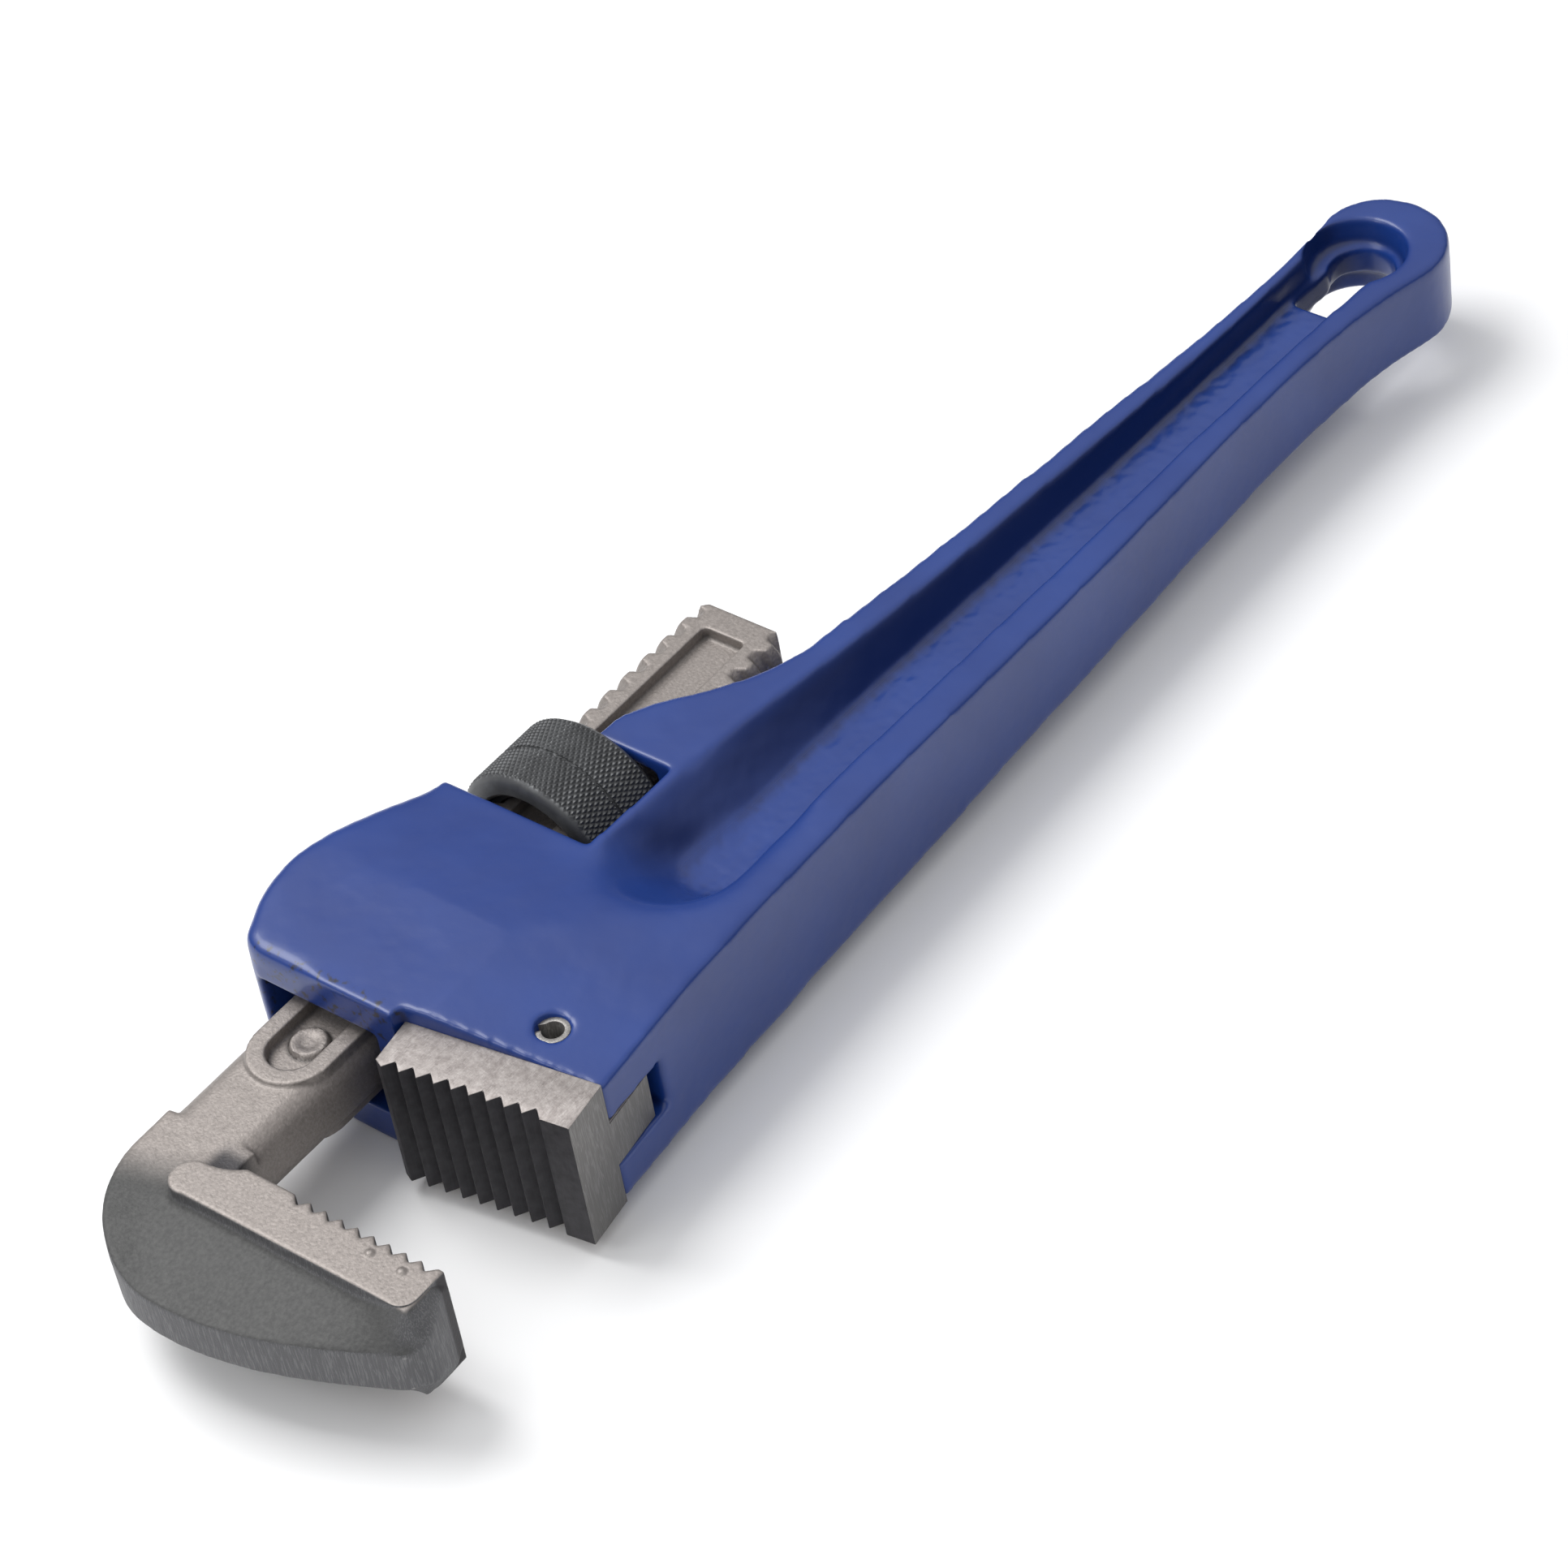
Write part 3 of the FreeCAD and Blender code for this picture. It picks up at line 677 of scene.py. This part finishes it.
# %% [markdown]
# ## Forged steel
# The hook shows three finishes of one steel: warm grey where it was shot-blasted, charcoal
# forge scale on the web, and a smoother grey with drawn lines where the flash was trimmed off
# the rim. The masks on the mesh say which is where.

# %% Hook steel
forged, tree, shader = finish("forged_steel", Metallic=0.55)
blasted = use(tree, mottle_group, Color_A=rgb(0.215, 0.192, 0.178), Color_B=rgb(0.325, 0.292, 0.272),
              Patches_per_m=1500.0, Contrast=0.28)
charcoal = use(tree, mottle_group, Color_A=rgb(0.060, 0.060, 0.060), Color_B=rgb(0.098, 0.098, 0.096),
               Patches_per_m=1400.0, Contrast=0.28)
trim_lines = use(tree, scratch_group, Stretch=(2200.0, 2200.0, 120.0), Width=0.05)
rim_tone = blend(tree, trim_lines.outputs[0], rgb(0.12, 0.12, 0.125), rgb(0.19, 0.19, 0.195))
color = blend(tree, mask_of(tree, "forge_scale"), blasted.outputs[0], charcoal.outputs[0])
color = blend(tree, mask_of(tree, "trimmed_rim"), color, rim_tone)
color = blend(tree, mask_of(tree, "tooth_row"), color, rgb(0.05, 0.047, 0.05))
# Painted shade: near-black steel in the hollows.
color = blend(tree, times(tree, mask_of(tree, "hollow"), 0.75), color, rgb(0.035, 0.033, 0.032))
worn = use(tree, wear_group, Start=0.53, Full=0.62, Patches_per_m=700.0, Patchiness=0.7)
color = blend(tree, times(tree, worn.outputs[0], 0.45), color, rgb(0.62, 0.59, 0.57))
plug(tree, color, shader, "Base Color")
plug(tree, between(tree, mask_of(tree, "forge_scale"), 0.5, 0.62), shader, "Roughness")
skin_grain = use(tree, grain_group, Grain_per_m=1900.0, Lumps_per_m=500.0, Lump_Share=0.3)
bump(tree, shader, skin_grain.outputs[0], 0.2, 0.6)
hook.data.materials.append(forged)

# %% [markdown]
# ## Hardened heel jaw
# The sides of the block are shot-blasted, the front end is ground, and the teeth are nearly
# black from quenching oil. Faces are sorted by the way they face, which is exact on a milled
# block. The ground end is the face toward the front with no corner of the block beyond it.

# %% Heel jaw steels
block_side, tree, shader = finish("blasted_block", Metallic=0.5, Roughness=0.5)
tone = use(tree, mottle_group, Color_A=rgb(0.215, 0.19, 0.18), Color_B=rgb(0.34, 0.31, 0.295),
           Patches_per_m=800.0, Contrast=0.2)
drawn = use(tree, scratch_group, Stretch=(250.0, 2600.0, 2600.0), Width=0.03)
color = blend(tree, times(tree, drawn.outputs[0], 0.25), tone.outputs[0], rgb(0.55, 0.52, 0.5))
plug(tree, color, shader, "Base Color")
speckled = use(tree, grain_group, Grain_per_m=2200.0, Lumps_per_m=600.0, Lump_Share=0.3)
bump(tree, shader, speckled.outputs[0], 0.12, 0.6)

quenched, tree, shader = finish("quenched_teeth", Metallic=0.0, Roughness=0.6, Specular_IOR_Level=0.3)
tone = use(tree, mottle_group, Color_A=rgb(0.014, 0.013, 0.016), Color_B=rgb(0.03, 0.028, 0.033),
           Patches_per_m=500.0, Contrast=0.2)
milled = use(tree, scratch_group, Stretch=(1500.0, 1500.0, 60.0), Width=0.05)
color = blend(tree, times(tree, milled.outputs[0], 0.1), tone.outputs[0], rgb(0.07, 0.07, 0.075))
worn = use(tree, wear_group, Start=0.54, Full=0.64, Patches_per_m=900.0, Patchiness=0.6)
color = blend(tree, times(tree, worn.outputs[0], 0.2), color, rgb(0.16, 0.155, 0.155))
plug(tree, color, shader, "Base Color")

ground, tree, shader = finish("ground_end", Metallic=0.65, Roughness=0.4)
grit = use(tree, scratch_group, Stretch=(2600.0, 2600.0, 140.0), Width=0.06)
plug(tree, blend(tree, grit.outputs[0], rgb(0.15, 0.145, 0.14), rgb(0.22, 0.215, 0.21)), shader, "Base Color")

for material in (block_side, quenched, ground):
    heel.data.materials.append(material)
corners = [v.co for v in heel.data.vertices]
for face in heel.data.polygons:
    if abs(face.normal.z) < 0.6:
        outermost = max(face.normal.dot(corner - face.center) for corner in corners) < 0.3 * MM
        face.material_index = 2 if face.normal.y < -0.8 and outermost else 1
print("heel faces by finish:", np.bincount([f.material_index for f in heel.data.polygons]))

# %% [markdown]
# ## Black oxide nut
# The nut is blackened. Handling rubs the tips of the pyramids to a duller grey, and the
# grooves stay dark.

# %% Nut
oxide, tree, shader = finish("black_oxide", Metallic=0.45, Roughness=0.46)
tone = use(tree, mottle_group, Color_A=rgb(0.040, 0.041, 0.043), Color_B=rgb(0.07, 0.072, 0.075),
           Patches_per_m=260.0, Contrast=0.2)
worn = use(tree, wear_group, Start=0.50, Full=0.60, Patches_per_m=300.0, Patchiness=0.4)
color = blend(tree, times(tree, worn.outputs[0], 0.6), tone.outputs[0], rgb(0.16, 0.165, 0.17))
plug(tree, color, shader, "Base Color")
nut.data.materials.append(oxide)

# %% [markdown]
# ## Pin and springs
# The rolled pin is bright on its ends. The leaf spring, its rivet and the coil sit inside the
# housing and keep their CAD shapes, with a blued or oiled spring steel.

# %% Small steel
bright, tree, shader = finish("pin_steel", Metallic=0.6, Roughness=0.4)
turned = use(tree, scratch_group, Stretch=(2500.0, 2500.0, 300.0), Width=0.06)
plug(tree, blend(tree, turned.outputs[0], rgb(0.22, 0.21, 0.20), rgb(0.36, 0.35, 0.33)), shader, "Base Color")
pin.data.materials.append(bright)

oiled, tree, shader = finish("oiled_spring_steel", Metallic=0.85, Roughness=0.36)
tone = use(tree, mottle_group, Color_A=rgb(0.20, 0.19, 0.19), Color_B=rgb(0.34, 0.33, 0.33),
           Patches_per_m=400.0, Contrast=0.2)
plug(tree, tone.outputs[0], shader, "Base Color")
for node in ("leaf_spring", "spring_rivet", "coil_spring"):
    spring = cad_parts[node]
    for place in spring.material_slots:
        place.material = oiled
    if not spring.material_slots:
        spring.data.materials.append(oiled)
print("materials:", [m.name for m in bpy.data.materials])

# %% [markdown]
# ## Studio
# The tool lies on a plain pale table. A wide soft light hangs above and behind it, as in a
# light tent, so upward faces shine and faces toward the camera stay deeper. A weak fill comes
# from the camera's left. The tent's cloth glows more overhead than near the table.

# %% Table top
surface = bpy.data.meshes.new("table_top")
reach, drop = 4.0, cad_low[2] - 0.1 * MM
rim_points = [(-reach, -reach, drop), (reach, -reach, drop), (reach, reach, drop), (-reach, reach, drop)]
surface.from_pydata(rim_points, [], [(0, 1, 2, 3)])
table_top = bpy.data.objects.new("table_top", surface)
bpy.context.scene.collection.objects.link(table_top)
paper, tree, shader = finish("white_paper", Roughness=0.9)
fibre = use(tree, mottle_group, Color_A=rgb(0.90, 0.90, 0.90), Color_B=rgb(0.92, 0.92, 0.92),
            Patches_per_m=30.0, Contrast=0.3)
plug(tree, fibre.outputs[0], shader, "Base Color")
surface.materials.append(paper)

# %% Lights


def soft_box(name, place, aim, width, watts):
    """A square area light at a place, turned toward a point, in metres."""
    lamp = bpy.data.lights.new(name, "AREA")
    lamp.size = width
    lamp.energy = watts
    holder = bpy.data.objects.new(name, lamp)
    holder.location = place
    holder.rotation_mode = "QUATERNION"
    holder.rotation_quaternion = (Vector(aim) - Vector(place)).to_track_quat("-Z", "Y")
    bpy.context.scene.collection.objects.link(holder)
    return holder


TENT_LOW, TENT_HIGH = 0.20, 0.90
centre = (cad_low + cad_high) / 2
soft_box("tent_top", centre + Vector((-0.10, 0.62, 1.0)), centre, 0.7, 10.0)
soft_box("tent_left", centre + Vector((-0.9, 0.35, 0.7)), centre, 0.5, 2.5)
studio = bpy.data.worlds.new("studio")
studio.use_nodes = True
sky = studio.node_tree
tent = sky.nodes["Background"]
tent.inputs["Color"].default_value = rgb(0.98, 0.985, 1.0)
toward = add(sky, "TexCoord").outputs["Generated"]
upward = add(sky, "SeparateXYZ", [(0, toward)]).outputs["Z"]
strength = add(sky, "MapRange", [(0, upward), (1, 0.30), (2, 0.66), (3, TENT_LOW), (4, TENT_HIGH)])
sky.links.new(strength.outputs[0], tent.inputs["Strength"])
bpy.context.scene.world = studio
bpy.context.scene.view_settings.view_transform = "Standard"

# %% [markdown]
# ## Camera
# The camera looks down over the jaws toward the end of the grip with a long lens, rolled a
# little so that the handle rises to the upper right.

# %% Camera
AZIMUTH, ELEVATION, ROLL = math.radians(-45.4), math.radians(42.67), math.radians(-10.27)
CAMERA_PLACE, FOCAL_LENGTH = (-0.38612, -0.48706, 0.62033), 115.53
back = Vector((math.sin(AZIMUTH) * math.cos(ELEVATION), -math.cos(AZIMUTH) * math.cos(ELEVATION),
               math.sin(ELEVATION)))
level = Vector((0, 0, 1)).cross(back).normalized()
upright = back.cross(level)
right = math.cos(ROLL) * level + math.sin(ROLL) * upright
up = math.cos(ROLL) * upright - math.sin(ROLL) * level
lens = bpy.data.cameras.new("camera")
lens.sensor_width = 36.0
lens.lens = FOCAL_LENGTH
lens.clip_start = 0.02
camera = bpy.data.objects.new("camera", lens)
turned = Matrix((right, up, back)).transposed().to_4x4()
camera.matrix_world = Matrix.Translation(CAMERA_PLACE) @ turned
bpy.context.scene.collection.objects.link(camera)
bpy.context.scene.camera = camera
print("camera is", round((camera.location - centre).length, 3), "m from the tool's middle")
